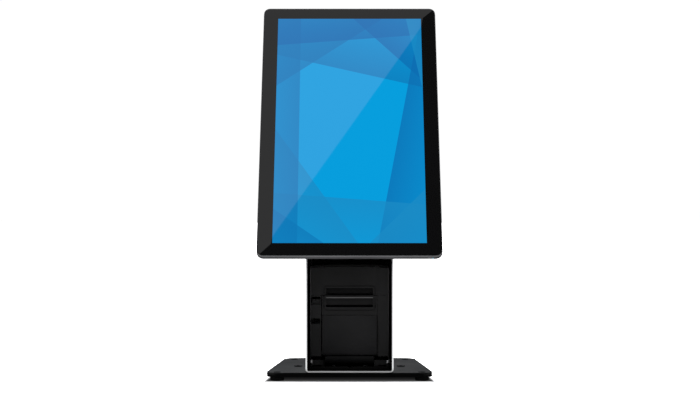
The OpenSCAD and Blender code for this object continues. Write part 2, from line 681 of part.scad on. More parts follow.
module feed_motor() color([0.45, 0.45, 0.46]) on_stand() bar_x(pinion_at, 14, partition[1], pr_x - pr_wall);

module print_head() color([0.55, 0.55, 0.56]) on_stand()
    block([-40, head_y, 130], [40, head_y + 4.7, beam_z]);

module head_leaf_spring() color([0.75, 0.75, 0.76]) on_stand() across(-12, 12)
    polygon([[head_y + 4.7, 131], [head_y + 4.7, 140], [head_y + 10, beam_z], [head_y + 12, beam_z],
             [head_y + 5.9, 139.5], [head_y + 5.9, 131]]);

module cutter_blade() color([0.8, 0.8, 0.82]) on_stand()
    block([-42.8, blade_y[0], 153.2], [42.8, blade_y[1], 172]);

module cutter_frame() color([0.35, 0.35, 0.36]) on_stand() both_sides() difference() {
    union() {
        block([41.5, 43, seam_z[0]], [47, 50, 178]);
        block([41.5, 43, seam_z[0]], [partition[1], 50, seam_z[0] + 2]);
        block([-0.01, 47.4, 165], [47, 50, 178]);
    }
    block([40, blade_y[0] - 0.3, 149], [43.2, blade_y[1] + 0.3, 176]);
}

module paper_bucket() color([0.05, 0.05, 0.05]) on_stand() difference() {
    across(-46, 41) {
        intersection() {
            translate(bucket_at) circle(bucket_r + 1.6);
            translate([bucket_at[0] - 60, 40]) square([120, 38]);
        }
        translate([bucket_at[0] - 14, pr_z0 + pr_wall]) square([28, 6]);
    }
    bar_x(bucket_at, bucket_r, -47, 42);
}

module paper_roll() color([0.93, 0.93, 0.91]) on_stand() difference() {
    bar_x(roll_at, roll_r, -roll_w / 2, roll_w / 2);
    bar_x(roll_at, roll_core_r, -roll_w / 2 - 1, roll_w / 2 + 1);
}

module printer_board() color([0.05, 0.25, 0.12]) on_stand() {
    block([-60, 142, 55], [60, 143.6, 140]);
    for (x = [-35, 5]) block([x, 140.5, 90], [x + 18, 142, 108]);
}

// ---------------------------------------------------------------- touchscreen head

module cover_glass() color([0.02, 0.02, 0.025]) on_head()
    head_plate(head_w - 2.8, head_h - 2.8, head_r - 1.4, 0.2, 3.2);

module glass_gasket() color([0.02, 0.02, 0.02]) on_head() difference() {
    head_plate(head_w - 4, head_h - 4, head_r - 2, 3.2, 4);
    head_plate(head_w - 18, head_h - 18, 3.5, 3, 5);
}

module screen_cell() color([0.05, 0.3, 0.6]) on_head()
    head_plate(screen_w + 8, screen_h + 8, 2, 3.3, 4.9);

module lcd_module() color([0.7, 0.7, 0.72]) on_head() head_plate(282, 490, 3, 4.9, frame_t);

module front_frame() color([0.18, 0.18, 0.19]) on_head() difference() {
    head_plate(head_w, head_h, head_r, 0, frame_t);
    head_plate(head_w - 2.4, head_h - 2.4, head_r - 1.2, -through, 4);
    head_plate(head_w - 20, head_h - 20, 3, 3, 7);
    head_plate(head_w - 6, head_h - 6, head_r - 3, 6, frame_t - 2);
    head_plate(292, 494, 4, frame_t - 3, frame_t + through);
    block([button_x - 3.5, rim_mark - 1.7, -1], [button_x + 3.5, rim_mark + 1.7, 4]);
    bar_z([led_x, rim_mark], 1.1, -1, 4);
}

// Side view of the rear cover, t inside its outer skin
module rear_cover_profile(t, back0, back1) {
    v0 = cover_foot + t * sqrt(1 + chamfer * chamfer) + chamfer * (back0 - frame_t);
    v1 = cover_foot + t * sqrt(1 + chamfer * chamfer) + chamfer * (back1 - frame_t);
    polygon([[back0, v0], [back1, v1], [back1, head_h - v1], [back0, head_h - v0]]);
}

module rear_cover() color([0.05, 0.05, 0.055]) on_head() difference() {
    union() {
        difference() {
            across(-cover_half, cover_half) rear_cover_profile(0, frame_t, head_t);
            across(-cover_half + 2, cover_half - 2) rear_cover_profile(2, frame_t - 1, head_t - 2);
        }
        block([-bay_x - 2, bay_floor - 2, bay_z[0] - 2], [bay_x + 2, head_t - 1, bay_z[1] + 2]);
    }
    difference() {
        block([-bay_x, bay_floor, bay_z[0]], [bay_x, head_t + 1, bay_z[1]]);
        for (s = [-1, 1]) block([s * (bay_x - 1) - 1, bay_floor - 1, bay_z[0] - 1],
                                [s * (bay_x - 1) + 1, head_t - 1.8, bay_z[0] + 16]);
    }
    block([-44.3, 31.3, bay_z[1] - 1], [44.3, 38.9, bay_z[1] + 3]);
    for (p = vesa_places) bar_y(p, 2.3, head_t - 3, head_t + 1);
    for (p = corner_screws) bar_y(p, 1.7, head_t - 3, head_t + 1);
    for (i = [0 : 13]) block([-98 + 14 * i, head_t - 3, 400], [-94 + 14 * i, head_t + 1, 440]);
    for (m = [0, 1], i = [0 : 5]) mirror([m, 0, 0])
        block([90 + 8 * i, 20, 20], [93 + 8 * i, head_t - 6, 44]);
}

module rear_cover_screws() color([0.3, 0.3, 0.31]) on_head() for (p = corner_screws)
    translate([p[0], head_t, p[1]]) rotate([-90, 0, 0]) pan_screw(3, 1.6, 1.5, 12, 2);

module io_cover() color([0.07, 0.07, 0.075]) on_head() difference() {
    block([-bay_x + 0.3, head_t - 1.8, bay_z[0] + 0.3], [bay_x - 0.3, head_t, bay_z[1] - 0.3]);
    block([-14, head_t - 3, bay_z[0] - 1], [14, head_t + 1, bay_z[0] + 10]);
}

module display_chassis() color([0.65, 0.65, 0.66]) on_head() difference() {
    union() {
        head_plate(296, head_h - 30, 3, frame_t, frame_t + 1.6);
        for (p = vesa_places) bar_y(p, 5, frame_t, head_t - 2);
        for (p = corner_screws) bar_y(p, 4, frame_t, head_t - 2);
    }
    for (p = vesa_places) bar_y(p, 2.1, head_t - 14, head_t + 1);
    for (p = corner_screws) bar_y(p, 1.6, head_t - 14, head_t + 1);
}

module main_board() color([0.05, 0.25, 0.12]) on_head() {
    block([-85, 30, 132], [85, 31.6, 200]);
    for (x = [-80, 80], z = [138, 194]) bar_y([x, z], 3, frame_t + 1.6, 30.5);
    block([-44, 31.5, bay_z[1] + 1], [44, 38.6, 150]);
    block([-15, 31.5, 160], [15, 38, 190]);
}

module speakers() color([0.06, 0.06, 0.06]) on_head() both_sides()
    block([88, frame_t + 1.6, 50], [126, 35, 84]);

module power_button() color([0.5, 0.5, 0.52]) on_head()
    block([button_x - 3.2, rim_mark - 1.4, 0.2], [button_x + 3.2, rim_mark + 1.4, 6]);

module status_led() color([0.2, 0.7, 0.9]) on_head() bar_z([led_x, rim_mark], 1.05, 0.1, 5);

// ---------------------------------------------------------------- nodes

base_plate();
rubber_feet();
foot_screws();
column_shell();
floor_bolts();
printer_cage();
printer_rails();
cage_screws();
hinge_cheeks();
tilt_shaft();
shaft_collars();
friction_washers();
shaft_nuts();
spine_cover();
spine_screws();
rear_door();
door_pins();
lock_housing();
lock_plug();
lock_cam();
strike_tab();
power_adapter();
printer_lower_case();
printer_top_case();
printer_cover();
cover_panel();
tear_bar();
cover_hinge_pin();
printer_feet();
release_button();
feed_button();
usb_port();
platen_roller();
platen_gear();
idler_gear();
idler_axle();
motor_pinion();
feed_motor();
print_head();
head_leaf_spring();
cutter_blade();
cutter_frame();
paper_bucket();
paper_roll();
printer_board();
cover_glass();
glass_gasket();
screen_cell();
lcd_module();
front_frame();
rear_cover();
rear_cover_screws();
io_cover();
display_chassis();
main_board();
speakers();
power_button();
status_led();
tilt_yoke();
vesa_screws();
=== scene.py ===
# The looks of the touchscreen kiosk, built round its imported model. Metres, +Z up, +Y to the rear.
import bmesh
import bpy
import json
import math
from mathutils import Matrix, Vector


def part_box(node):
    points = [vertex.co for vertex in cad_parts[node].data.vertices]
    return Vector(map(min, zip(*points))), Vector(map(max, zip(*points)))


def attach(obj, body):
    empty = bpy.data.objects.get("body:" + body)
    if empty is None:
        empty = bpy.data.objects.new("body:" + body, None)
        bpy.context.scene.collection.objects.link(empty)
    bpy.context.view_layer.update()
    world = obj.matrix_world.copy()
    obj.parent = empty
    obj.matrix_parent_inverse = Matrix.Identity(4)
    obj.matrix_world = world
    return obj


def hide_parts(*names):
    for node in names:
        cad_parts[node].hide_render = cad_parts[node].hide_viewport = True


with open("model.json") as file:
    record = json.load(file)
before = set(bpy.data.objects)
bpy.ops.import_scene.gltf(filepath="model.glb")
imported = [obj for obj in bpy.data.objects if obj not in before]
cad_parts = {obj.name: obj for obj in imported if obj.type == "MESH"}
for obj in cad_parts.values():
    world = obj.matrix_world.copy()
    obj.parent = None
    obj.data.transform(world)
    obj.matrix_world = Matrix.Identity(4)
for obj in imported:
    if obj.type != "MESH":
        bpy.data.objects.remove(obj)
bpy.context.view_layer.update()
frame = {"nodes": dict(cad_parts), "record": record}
nodes = frame["nodes"]
scene = bpy.context.scene
MM = 0.001


# ---------------------------------------------------------------- shader helpers

class Graph:
    """A small helper that builds one procedural material."""

    def __init__(self, name, colour, rough, metallic=0.0, ior=1.5):
        self.mat = bpy.data.materials.new(name)
        self.mat.use_nodes = True
        self.tree = self.mat.node_tree
        self.shader = self.tree.nodes["Principled BSDF"]
        self.mat.diffuse_color = (*colour, 1)
        self.set("Base Color", (*colour, 1))
        self.set("Roughness", rough)
        self.set("Metallic", metallic)
        self.set("IOR", ior)
        self.colour, self.rough = colour, rough
        self.coords = self.add("ShaderNodeTexCoord").outputs["Object"]
        split = self.add("ShaderNodeSeparateXYZ")
        self.link(self.coords, split.inputs[0])
        self.x, self.y, self.z = split.outputs
        self.height = None

    def set(self, name, value):
        self.shader.inputs[name].default_value = value

    def add(self, kind, **values):
        node = self.tree.nodes.new(kind)
        for key, value in values.items():
            setattr(node, key, value)
        return node

    def link(self, a, b):
        self.tree.links.new(a, b)

    def math(self, operation, a, b=0.0):
        node = self.add("ShaderNodeMath", operation=operation)
        for socket, value in zip(node.inputs, (a, b)):
            if isinstance(value, (int, float)):
                socket.default_value = value
            else:
                self.link(value, socket)
        return node.outputs[0]

    def noise(self, scale, detail=3.0, stretch=(1, 1, 1), rough=0.5):
        mapping = self.add("ShaderNodeMapping")
        mapping.inputs["Scale"].default_value = stretch
        self.link(self.coords, mapping.inputs["Vector"])
        node = self.add("ShaderNodeTexNoise")
        node.inputs["Scale"].default_value = scale
        node.inputs["Detail"].default_value = detail
        node.inputs["Roughness"].default_value = rough
        self.link(mapping.outputs[0], node.inputs["Vector"])
        return node.outputs["Fac"]

    def ranged(self, value, a, b, c, d):
        node = self.add("ShaderNodeMapRange")
        self.link(value, node.inputs["Value"])
        for key, number in zip(("From Min", "From Max", "To Min", "To Max"), (a, b, c, d)):
            node.inputs[key].default_value = number
        return node.outputs["Result"]

    def mix(self, fac, a, b):
        node = self.add("ShaderNodeMix", data_type="RGBA")
        for socket, value in zip((node.inputs[0], node.inputs[6], node.inputs[7]), (fac, a, b)):
            if isinstance(value, (int, float)):
                socket.default_value = value
            elif isinstance(value, tuple):
                socket.default_value = (*value, 1) if len(value) == 3 else value
            else:
                self.link(value, socket)
        return node.outputs[2]

    def tint(self, fac, low, high):
        """Colour wanders between low and high times the base colour."""
        dark, light = (tuple(min(c * k, 1) for c in self.colour) for k in (low, high))
        colour = self.mix(fac, dark, light)
        self.link(colour, self.shader.inputs["Base Color"])
        return colour

    def between(self, value, low, high):
        """1 where value lies between low and high, else 0."""
        past = self.math("GREATER_THAN", value, low)
        return self.math("MULTIPLY", past, self.math("LESS_THAN", value, high))

    def length(self, a, b):
        """How long the vector with these two components is."""
        return self.math("SQRT", self.math("ADD", self.math("MULTIPLY", a, a), self.math("MULTIPLY", b, b)))

    def facing(self, axis):
        """One component of the surface's true normal."""
        split = self.add("ShaderNodeSeparateXYZ")
        self.link(self.add("ShaderNodeNewGeometry").outputs["True Normal"], split.inputs[0])
        return split.outputs[axis]

    def shade(self, fac):
        """Paints light and shade into the surface: scales the base colour and the sheen by fac."""
        socket = self.shader.inputs["Base Color"]
        scaled = self.add("ShaderNodeVectorMath", operation="SCALE")
        self.link(socket.links[0].from_socket, scaled.inputs[0])
        self.link(fac, scaled.inputs["Scale"])
        self.link(scaled.outputs[0], socket)
        self.link(self.math("MULTIPLY", fac, 0.5), self.shader.inputs["Specular IOR Level"])

    def roughness(self, fac, low, high):
        self.link(self.ranged(fac, 0.25, 0.75, low, high), self.shader.inputs["Roughness"])

    def bump(self, value, strength, distance):
        node = self.add("ShaderNodeBump")
        node.inputs["Strength"].default_value = strength
        node.inputs["Distance"].default_value = distance
        self.link(value, node.inputs["Height"])
        if self.height is not None:
            self.link(self.height, node.inputs["Normal"])
        self.height = node.outputs["Normal"]
        self.link(self.height, self.shader.inputs["Normal"])


def powder_coat(name, colour, rough, grain=1.0, shade=None):
    g = Graph(name, colour, rough)
    fine = g.noise(900, 2)
    broad = g.noise(9, 4)
    g.tint(g.ranged(g.math("ADD", fine, broad), 0.7, 1.3, 0, 1), 0.8, 1.25)
    g.roughness(broad, rough - 0.05, rough + 0.07)
    g.bump(fine, 0.25 * grain, 0.0004)
    if shade:
        g.shade(shade(g))
    return g.mat


def moulded(name, colour, rough, grain=1.0, shade=None):
    """Plastic with a fine spark-eroded texture."""
    g = Graph(name, colour, rough)
    fine = g.noise(2200, 1.5, rough=0.6)
    patches = g.noise(14, 4)
    g.tint(g.ranged(patches, 0.3, 0.7, 0, 1), 0.88, 1.14)
    g.roughness(g.math("ADD", g.math("MULTIPLY", fine, 0.5), g.math("MULTIPLY", patches, 0.5)),
                rough - 0.06, rough + 0.06)
    g.bump(fine, 0.35 * grain, 0.00025)
    if shade:
        g.shade(shade(g))
    return g.mat


def printer_painted_light(g):
    """Painted light and shade on the printer: painted shadow under the case between the rails and on the
    finger recess's sill, painted shade on the paper slot's hood, and face light that fades downwards and
    grows towards the sides and the right.
    """
    case_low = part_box("cover_panel")[0].z - 2.7 * MM
    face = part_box("printer_cover")[0].y + 1.5 * MM
    under = g.ranged(g.z, case_low - 16 * MM, case_low, 0.1, 0.62)
    face_fall = g.ranged(g.z, case_low, case_low + 65 * MM, 0.6, 0.95)
    on_face = g.math("GREATER_THAN", g.z, case_low + 0.3 * MM)
    under = g.math("MAXIMUM", under, g.math("MULTIPLY", face_fall, on_face))
    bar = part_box("tear_bar")[0].z
    sill = g.math("MULTIPLY", g.between(g.z, bar - 16 * MM, bar - 12.2 * MM),
                  g.math("GREATER_THAN", g.y, face + 0.3 * MM))
    hood = g.math("MULTIPLY", g.between(g.z, bar + 7 * MM, bar + 18.6 * MM),
                  g.between(g.y, face + 1.2 * MM, face + 13 * MM))
    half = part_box("printer_lower_case")[1].x
    outward = g.math("POWER", g.math("ABSOLUTE", g.x), 2)
    # painted light: brighter towards both sides and towards the right
    sideways = g.math("MULTIPLY", g.ranged(g.x, -half, half, 0.94, 1.16),
                      g.ranged(outward, 0, half * half, 1.0, 1.35))
    hidden = g.math("ADD", g.math("MULTIPLY", sill, 0.93), g.math("MULTIPLY", hood, 0.4))
    lit = g.math("SUBTRACT", 1.0, hidden)
    return g.math("MULTIPLY", under, g.math("MULTIPLY", lit, sideways))


def panel_painted_light(g):
    """Painted light on the paper cover's panel: it falls off downwards and grows towards the right."""
    low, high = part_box("cover_panel")
    upwards = g.ranged(g.z, low.z, high.z, 0.6, 0.9)
    return g.math("MULTIPLY", upwards, g.ranged(g.x, low.x, high.x, 0.98, 1.14))


def cage_painted_light(g):
    """Painted light and shade on the cage: its colour rises from dim at the floor and lip to several times
    brighter up high, so the upper front edges read lit.
    """
    low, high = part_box("printer_cage")
    return g.ranged(g.z, low.z + 12 * MM, high.z - 50 * MM, 0.25, 3.8)


def rail_painted_shade(g):
    """Painted shade on the rails: both are dimmed to about half, and the left one fades further into painted
    shadow beside the printer's underside.
    """
    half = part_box("printer_rails")[1].x
    right = g.math("MULTIPLY", g.math("GREATER_THAN", g.x, 0.0), 0.46)
    return g.math("MAXIMUM", right, g.ranged(g.x, -half + 12 * MM, -half + 24 * MM, 0.5, 0.1))


def cage_screw_painted_shade(g):
    """Painted shade on the cage screws: bright heads inside the cage, shanks painted near black in the shaded
    gap beyond it.
    """
    return g.ranged(g.math("ABSOLUTE", g.x), 70.0 * MM, 70.4 * MM, 0.9, 0.02)


# wells over the feet and bores of the bosses, painted black as shade: from the middle, and from the base
# plate's front edge
WELLS = ((0.127, 0.0125), (0.104, 0.217), (0.093, 0.105))
WELL_REACH = 7.4 * MM


def base_painted_shade(g):
    """Painted shade on the base plate: wells, bores and boss sides painted black, and faces that aren't level
    dimmed to 0.6, so the plate's edge reads darker than its top.
    """
    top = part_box("column_shell")[0].z
    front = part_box("base_plate")[0].y
    well = None
    for x, y in WELLS:
        across = g.math("SUBTRACT", g.math("ABSOLUTE", g.x), x)
        along = g.math("SUBTRACT", g.y, front + y)
        near = g.math("LESS_THAN", g.length(across, along), WELL_REACH)
        well = near if well is None else g.math("MAXIMUM", well, near)
    well = g.math("MULTIPLY", well, g.math("LESS_THAN", g.z, top - 0.2 * MM))
    boss_side = g.math("GREATER_THAN", g.z, top + 0.05 * MM)
    upright = g.ranged(boss_side, 0, 1, 0.6, 0.0)
    level = g.math("GREATER_THAN", g.facing(2), 0.6)
    return g.math("MULTIPLY", g.math("MAXIMUM", level, upright), g.math("SUBTRACT", 1.0, well))


def base_taper():
    """How fast each side of the base plate comes in towards the rear."""
    low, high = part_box("base_plate")
    back_half = max(abs(v.co.x) for v in nodes["base_plate"].data.vertices if v.co.y > high.y - 12 * MM)
    return (high.x - back_half) / (high.y - low.y)


def brushed(name, colour, rough, stretch, metallic=1.0):
    """Metal with long fine scratches along one axis."""
    g = Graph(name, colour, rough, metallic)
    lines = g.noise(60, 3, stretch)
    broad = g.noise(7, 3)
    g.tint(g.ranged(g.math("ADD", lines, broad), 0.7, 1.3, 0, 1), 0.86, 1.08)
    g.roughness(lines, rough - 0.07, rough + 0.1)
    g.bump(lines, 0.12, 0.0002)
    return g.mat


def lined_shell(name, colour, lining, half, floor_top):
    """Satin sheet, silver outside and on its cut edges, near black with little sheen on the inside of the
    channel, and darkened as painted shade near the floor sheet.
    """
    g = Graph(name, colour, 0.36, 0.12)
    lines = g.noise(60, 3, ALONG_Z)
    silver = g.tint(lines, 0.93, 1.05)
    within = g.math("LESS_THAN", g.math("ABSOLUTE", g.x), half + 0.0001)
    above = g.math("GREATER_THAN", g.z, floor_top - 0.0001)
    sideways = g.math("LESS_THAN", g.math("ABSOLUTE", g.facing(1)), 0.5)
    inside = g.math("MULTIPLY", g.math("MULTIPLY", within, above), sideways)
    # painted shade: the silver drops to half at the floor sheet's height and recovers over the 4 mm above it
    level = g.ranged(g.z, floor_top - 0.0004, floor_top + 0.004, 0.5, 1)
    g.link(g.mix(inside, g.mix(level, (0, 0, 0), silver), lining), g.shader.inputs["Base Color"])
    g.link(g.ranged(inside, 0, 1, 0.12, 0), g.shader.inputs["Metallic"])
    g.link(g.ranged(inside, 0, 1, 0.5, 0.1), g.shader.inputs["Specular IOR Level"])
    g.roughness(lines, 0.3, 0.46)
    g.bump(lines, 0.12, 0.0002)
    return g.mat


def machined(name, colour, rough, shade=None):
    g = Graph(name, colour, rough, 0.55)
    fine = g.noise(1500, 2)
    stains = g.noise(80, 4)
    g.tint(g.ranged(stains, 0.35, 0.7, 0, 1), 0.75, 1.05)
    g.roughness(stains, rough - 0.05, rough + 0.12)
    g.bump(fine, 0.1, 0.0002)
    if shade:
        g.shade(shade(g))
    return g.mat


def rubbery(name, colour, rough):
    g = Graph(name, colour, rough, ior=1.45)
    fine = g.noise(1200, 3)
    dust = g.noise(45, 5)
    g.tint(g.ranged(dust, 0.45, 0.75, 0, 1), 0.9, 1.7)
    g.roughness(dust, rough - 0.05, rough + 0.08)
    g.bump(fine, 0.3, 0.0004)
    g.set("Specular IOR Level", 0.15)
    return g.mat


def papery(name, colour):
    """Thermal paper; its wound edge shows as close rings round the roll's axis."""
    g = Graph(name, colour, 0.75)
    low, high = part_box("paper_roll")
    centre = (low + high) / 2
    dy = g.math("SUBTRACT", g.y, centre.y)
    dz = g.math("SUBTRACT", g.z, centre.z)
    rings = g.math("SINE", g.math("MULTIPLY", g.length(dy, dz), 9000))
    fibres = g.noise(700, 4)
    g.tint(g.ranged(g.math("ADD", g.math("MULTIPLY", rings, 0.3), fibres), 0.1, 1.1, 0, 1), 0.86, 1.03)
    g.bump(rings, 0.2, 0.0002)
    g.bump(fibres, 0.1, 0.0001)
    return g.mat


def circuit_board(name, colour):
    """Solder mask with copper tracks showing as paler right-angled lines."""
    g = Graph(name, colour, 0.35)
    tracks = g.add("ShaderNodeTexBrick")
    for key, value in (("Scale", 190.0), ("Mortar Size", 0.045), ("Mortar Smooth", 0.1),
                       ("Brick Width", 1.7), ("Row Height", 0.6)):
        tracks.inputs[key].default_value = value
    g.link(g.coords, tracks.inputs["Vector"])
    shade = g.mix(tracks.outputs["Fac"], tuple(c * 0.8 for c in colour), tuple(c * 2.0 for c in colour))
    g.link(shade, g.shader.inputs["Base Color"])
    g.roughness(g.noise(60, 3), 0.28, 0.42)
    g.bump(tracks.outputs["Fac"], 0.3, 0.0002)
    return g.mat


def glossy_glass(name):
    """Black border of the cover glass: deep black print under a polished face."""
    g = Graph(name, (0.0036, 0.0036, 0.0038), 0.018, ior=1.52)
    smudge = g.noise(6, 4)
    fine = g.noise(600, 2)
    g.tint(smudge, 0.8, 1.2)
    g.roughness(smudge, 0.012, 0.024)
    g.bump(fine, 0.004, 0.0001)
    return g.mat


# the screen's UV map runs 0..1 across and 0..SCREEN_TALL up
SCREEN_TALL = 1.778
FOLDS, FIRST_FOLD, GOLDEN_ANGLE = 11, 75, 137.5


def lit_screen(name):
    """A generic lit picture: broad blue facets set by a rule, on the screen's own UV map."""
    g = Graph(name, (0.001, 0.008, 0.016), 0.018, ior=1.52)
    uv = g.add("ShaderNodeUVMap", uv_map="screen").outputs[0]
    split = g.add("ShaderNodeSeparateXYZ")
    g.link(uv, split.inputs[0])
    u, v = split.outputs[0], split.outputs[1]
    colour = g.mix(g.ranged(v, 0.1, 1.7, 0, 1), (0.001, 0.328, 0.70), (0.001, 0.336, 0.71))
    # plain straight folds, each turned from the last by the golden angle and starting a little farther out
    shades = ((0.004, 0.180, 0.46), (0.010, 0.250, 0.54), (0.003, 0.140, 0.42))
    for i in range(FOLDS):
        a = math.radians(FIRST_FOLD + GOLDEN_ANGLE * i)
        to_corner = 0.5 * abs(math.cos(a)) + SCREEN_TALL / 2 * abs(math.sin(a))
        along = g.math("ADD", g.math("MULTIPLY", g.math("SUBTRACT", u, 0.5), math.cos(a)),
                       g.math("MULTIPLY", g.math("SUBTRACT", v, SCREEN_TALL / 2), math.sin(a)))
        beyond = g.math("SUBTRACT", along, to_corner * (0.44 + 0.04 * i))
        mask = g.ranged(beyond, -0.0008, 0.0008, 0, 1)
        fade = g.ranged(beyond, 0.0, 0.4, 0.75, 0.25)
        colour = g.mix(g.math("MULTIPLY", mask, fade), colour, shades[i % len(shades)])
    g.link(colour, g.shader.inputs["Emission Color"])
    g.set("Emission Strength", 1.0)
    g.roughness(g.noise(6, 4), 0.012, 0.024)
    return g.mat


def led_glow(name):
    g = Graph(name, (0.05, 0.25, 0.35), 0.25)
    g.set("Emission Color", (0.25, 0.75, 1.0, 1))
    g.set("Emission Strength", 0.6)
    g.bump(g.noise(900, 2), 0.1, 0.0002)
    return g.mat


ALONG_X, ALONG_Z = (0.06, 8, 8), (8, 8, 0.06)
COLUMN_HALF, COLUMN_FLOOR = 0.0744, 0.0171
mats = {
    "base_steel": powder_coat("base_powder_coat", (0.0018, 0.0021, 0.0025), 0.42, shade=base_painted_shade),
    "rubber": rubbery("foot_rubber", (0.0012, 0.0012, 0.0012), 0.8),
    "dark_screw": machined("blackened_screw", (0.06, 0.06, 0.065), 0.4),
    "silver_shell": lined_shell("satin_aluminium", (0.88, 0.89, 0.90), (0.002, 0.002, 0.0022),
                                COLUMN_HALF, COLUMN_FLOOR),
    "cage_black": powder_coat("cage_powder_coat", (0.012, 0.012, 0.013), 0.45, shade=cage_painted_light),
    "rail_grey": powder_coat("rail_powder_coat", (0.02, 0.02, 0.021), 0.5, shade=rail_painted_shade),
    "bright_steel": machined("bright_steel", (0.72, 0.72, 0.74), 0.28),
    "black_sheet": powder_coat("black_powder_coat", (0.014, 0.014, 0.015), 0.42),
    "brass": machined("turned_brass", (0.70, 0.50, 0.22), 0.3),
    "lock_chrome": machined("lock_chrome", (0.8, 0.8, 0.82), 0.14),
    "zinc_steel": machined("zinc_steel", (0.55, 0.56, 0.58), 0.34),
    "inner_black": moulded("inner_black_plastic", (0.01, 0.01, 0.011), 0.5),
    "printer_black": moulded("printer_plastic", (0.0125, 0.0125, 0.0135), 0.52, shade=printer_painted_light),
    "printer_panel": moulded("printer_panel_plastic", (0.0150, 0.0150, 0.0166), 0.48, shade=panel_painted_light),
    "tear_steel": brushed("tear_bar_steel", (0.12, 0.12, 0.123), 0.3, ALONG_X, 0.2),
    "button_grey": moulded("button_plastic", (0.02, 0.02, 0.021), 0.5),
    "platen_rubber": rubbery("platen_rubber", (0.02, 0.02, 0.02), 0.6),
    "gear_nylon": moulded("gear_nylon", (0.72, 0.70, 0.64), 0.42),
    "motor_can": machined("motor_can", (0.45, 0.45, 0.47), 0.32),
    "head_aluminium": machined("print_head_aluminium", (0.6, 0.6, 0.61), 0.35),
    "spring_steel": brushed("spring_steel", (0.72, 0.72, 0.73), 0.25, ALONG_X),
    "cutter_grey": powder_coat("cutter_coat", (0.07, 0.07, 0.073), 0.45),
    "paper": papery("thermal_paper", (0.88, 0.88, 0.86)),
    "board_green": circuit_board("circuit_board", (0.012, 0.09, 0.035)),
    "cover_glass": glossy_glass("cover_glass_border"),
    "gasket_black": rubbery("gasket_foam", (0.006, 0.006, 0.006), 0.8),
    "screen_blue": lit_screen("lit_screen"),
    "backlight_grey": machined("backlight_tray", (0.55, 0.55, 0.56), 0.4),
    "frame_graphite": powder_coat("graphite_frame", (0.068, 0.069, 0.072), 0.38, 0.4),
    # lighter and darker copies of the graphite coat: a painted highlight for the frame's front chamfer, and
    # painted shade for its rear chamfer and back
    "frame_painted_highlight": powder_coat("graphite_frame_painted_highlight", (0.13, 0.131, 0.137), 0.34, 0.3),
    "frame_painted_shade": powder_coat("graphite_frame_painted_shade", (0.026, 0.026, 0.028), 0.4, 0.4),
    "rear_black": moulded("rear_cover_plastic", (0.012, 0.012, 0.013), 0.5, 1.4),
    "chassis_zinc": machined("chassis_zinc", (0.5, 0.51, 0.52), 0.42),
    "power_button_grey": moulded("power_button_plastic", (0.25, 0.25, 0.26), 0.4),
    "led": led_glow("status_light"),
}

mats["cage_screw"] = machined("cage_screw_steel", (0.72, 0.72, 0.74), 0.28, cage_screw_painted_shade)
LOOK = {"cage_screws": "cage_screw", "cover_hinge_pin": "dark_screw"}
slot_of = {part["node"]: part["material_slot"] for part in frame["record"]["subparts"]}


# ---------------------------------------------------------------- carried-over CAD pieces

def finish_node(name, width):
    """Gives a CAD node its material and soft edges."""
    obj = nodes[name]
    obj.data.materials.clear()
    obj.data.materials.append(mats[LOOK.get(name, slot_of[name])])
    if not width:
        return
    weld = obj.modifiers.new("weld", "WELD")
    weld.merge_threshold = 2e-6
    if name == "base_plate":
        flat = obj.modifiers.new("flat", "DECIMATE")
        flat.decimate_type = "DISSOLVE"
        flat.angle_limit = math.radians(0.2)
    bevel = obj.modifiers.new("edges", "BEVEL")
    bevel.width = width * MM
    bevel.segments = 2
    bevel.limit_method = "ANGLE"
    bevel.angle_limit = math.radians(40)
    bevel.use_clamp_overlap = True
    bevel.miter_outer = "MITER_ARC"
    bevel.harden_normals = True


# width in mm of the soft edge on each CAD piece that has one
EDGE = {
    "base_plate": 0.4, "column_shell": 0.45, "printer_cage": 0.3, "printer_rails": 0.6,
    "hinge_cheeks": 0.6, "tilt_yoke": 0.5, "spine_cover": 0.4, "rear_door": 0.4, "power_adapter": 1.2,
    "printer_lower_case": 0.5, "printer_top_case": 0.22, "printer_cover": 0.22, "cover_panel": 0.4,
    "release_button": 0.5, "feed_button": 0.5, "usb_port": 0.3, "print_head": 0.4, "cutter_frame": 0.4,
    "paper_bucket": 0.4, "io_cover": 0.4, "display_chassis": 0.3, "speakers": 1.0, "power_button": 0.4,
    "lcd_module": 0.5, "lock_cam": 0.3, "strike_tab": 0.3, "tilt_shaft": 0.5, "shaft_collars": 0.4,
    "shaft_nuts": 0.4, "feed_motor": 0.8, "rubber_feet": 0.5, "lock_housing": 0.3,
}
for name in nodes:
    finish_node(name, EDGE.get(name, 0))


# ---------------------------------------------------------------- mesh helpers

TILT = math.radians(30)
LIP = (-0.142, 0.2203)
HEAD_W, HEAD_H, HEAD_RADIUS = 0.3223, 0.5255, 0.012
CORNER_STEPS = 10
SCREEN_W, SCREEN_H, SCREEN_UP = 0.2674, 0.4761, 0.0008


def on_head(x, back, up):
    """A point of the display head at rest: across, behind the glass's front, and up along the glass."""
    return (x, LIP[0] + up * math.sin(TILT) + back * math.cos(TILT),
            LIP[1] + up * math.cos(TILT) - back * math.sin(TILT))


def mesh_piece(name, points, faces, body, stands_for, materials):
    mesh = bpy.data.meshes.new(name)
    mesh.from_pydata([tuple(p) for p in points], [], faces)
    mesh.update()
    obj = bpy.data.objects.new(name, mesh)
    scene.collection.objects.link(obj)
    for mat in materials:
        mesh.materials.append(mat)
    for face in mesh.polygons:
        face.use_smooth = True
    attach(obj, body)
    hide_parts(*stands_for)
    return obj


def rounded_outline(width, height, radius):
    """Points round a rectangle with round corners, anticlockwise from the lower right."""
    points = []
    for k, (sx, sy) in enumerate(((1, -1), (1, 1), (-1, 1), (-1, -1))):
        cx, cy = sx * (width / 2 - radius), sy * (height / 2 - radius)
        for i in range(CORNER_STEPS + 1):
            a = math.radians(-90 + 90 * k + 90 * i / CORNER_STEPS)
            points.append((cx + radius * math.cos(a), cy + radius * math.sin(a)))
    return points


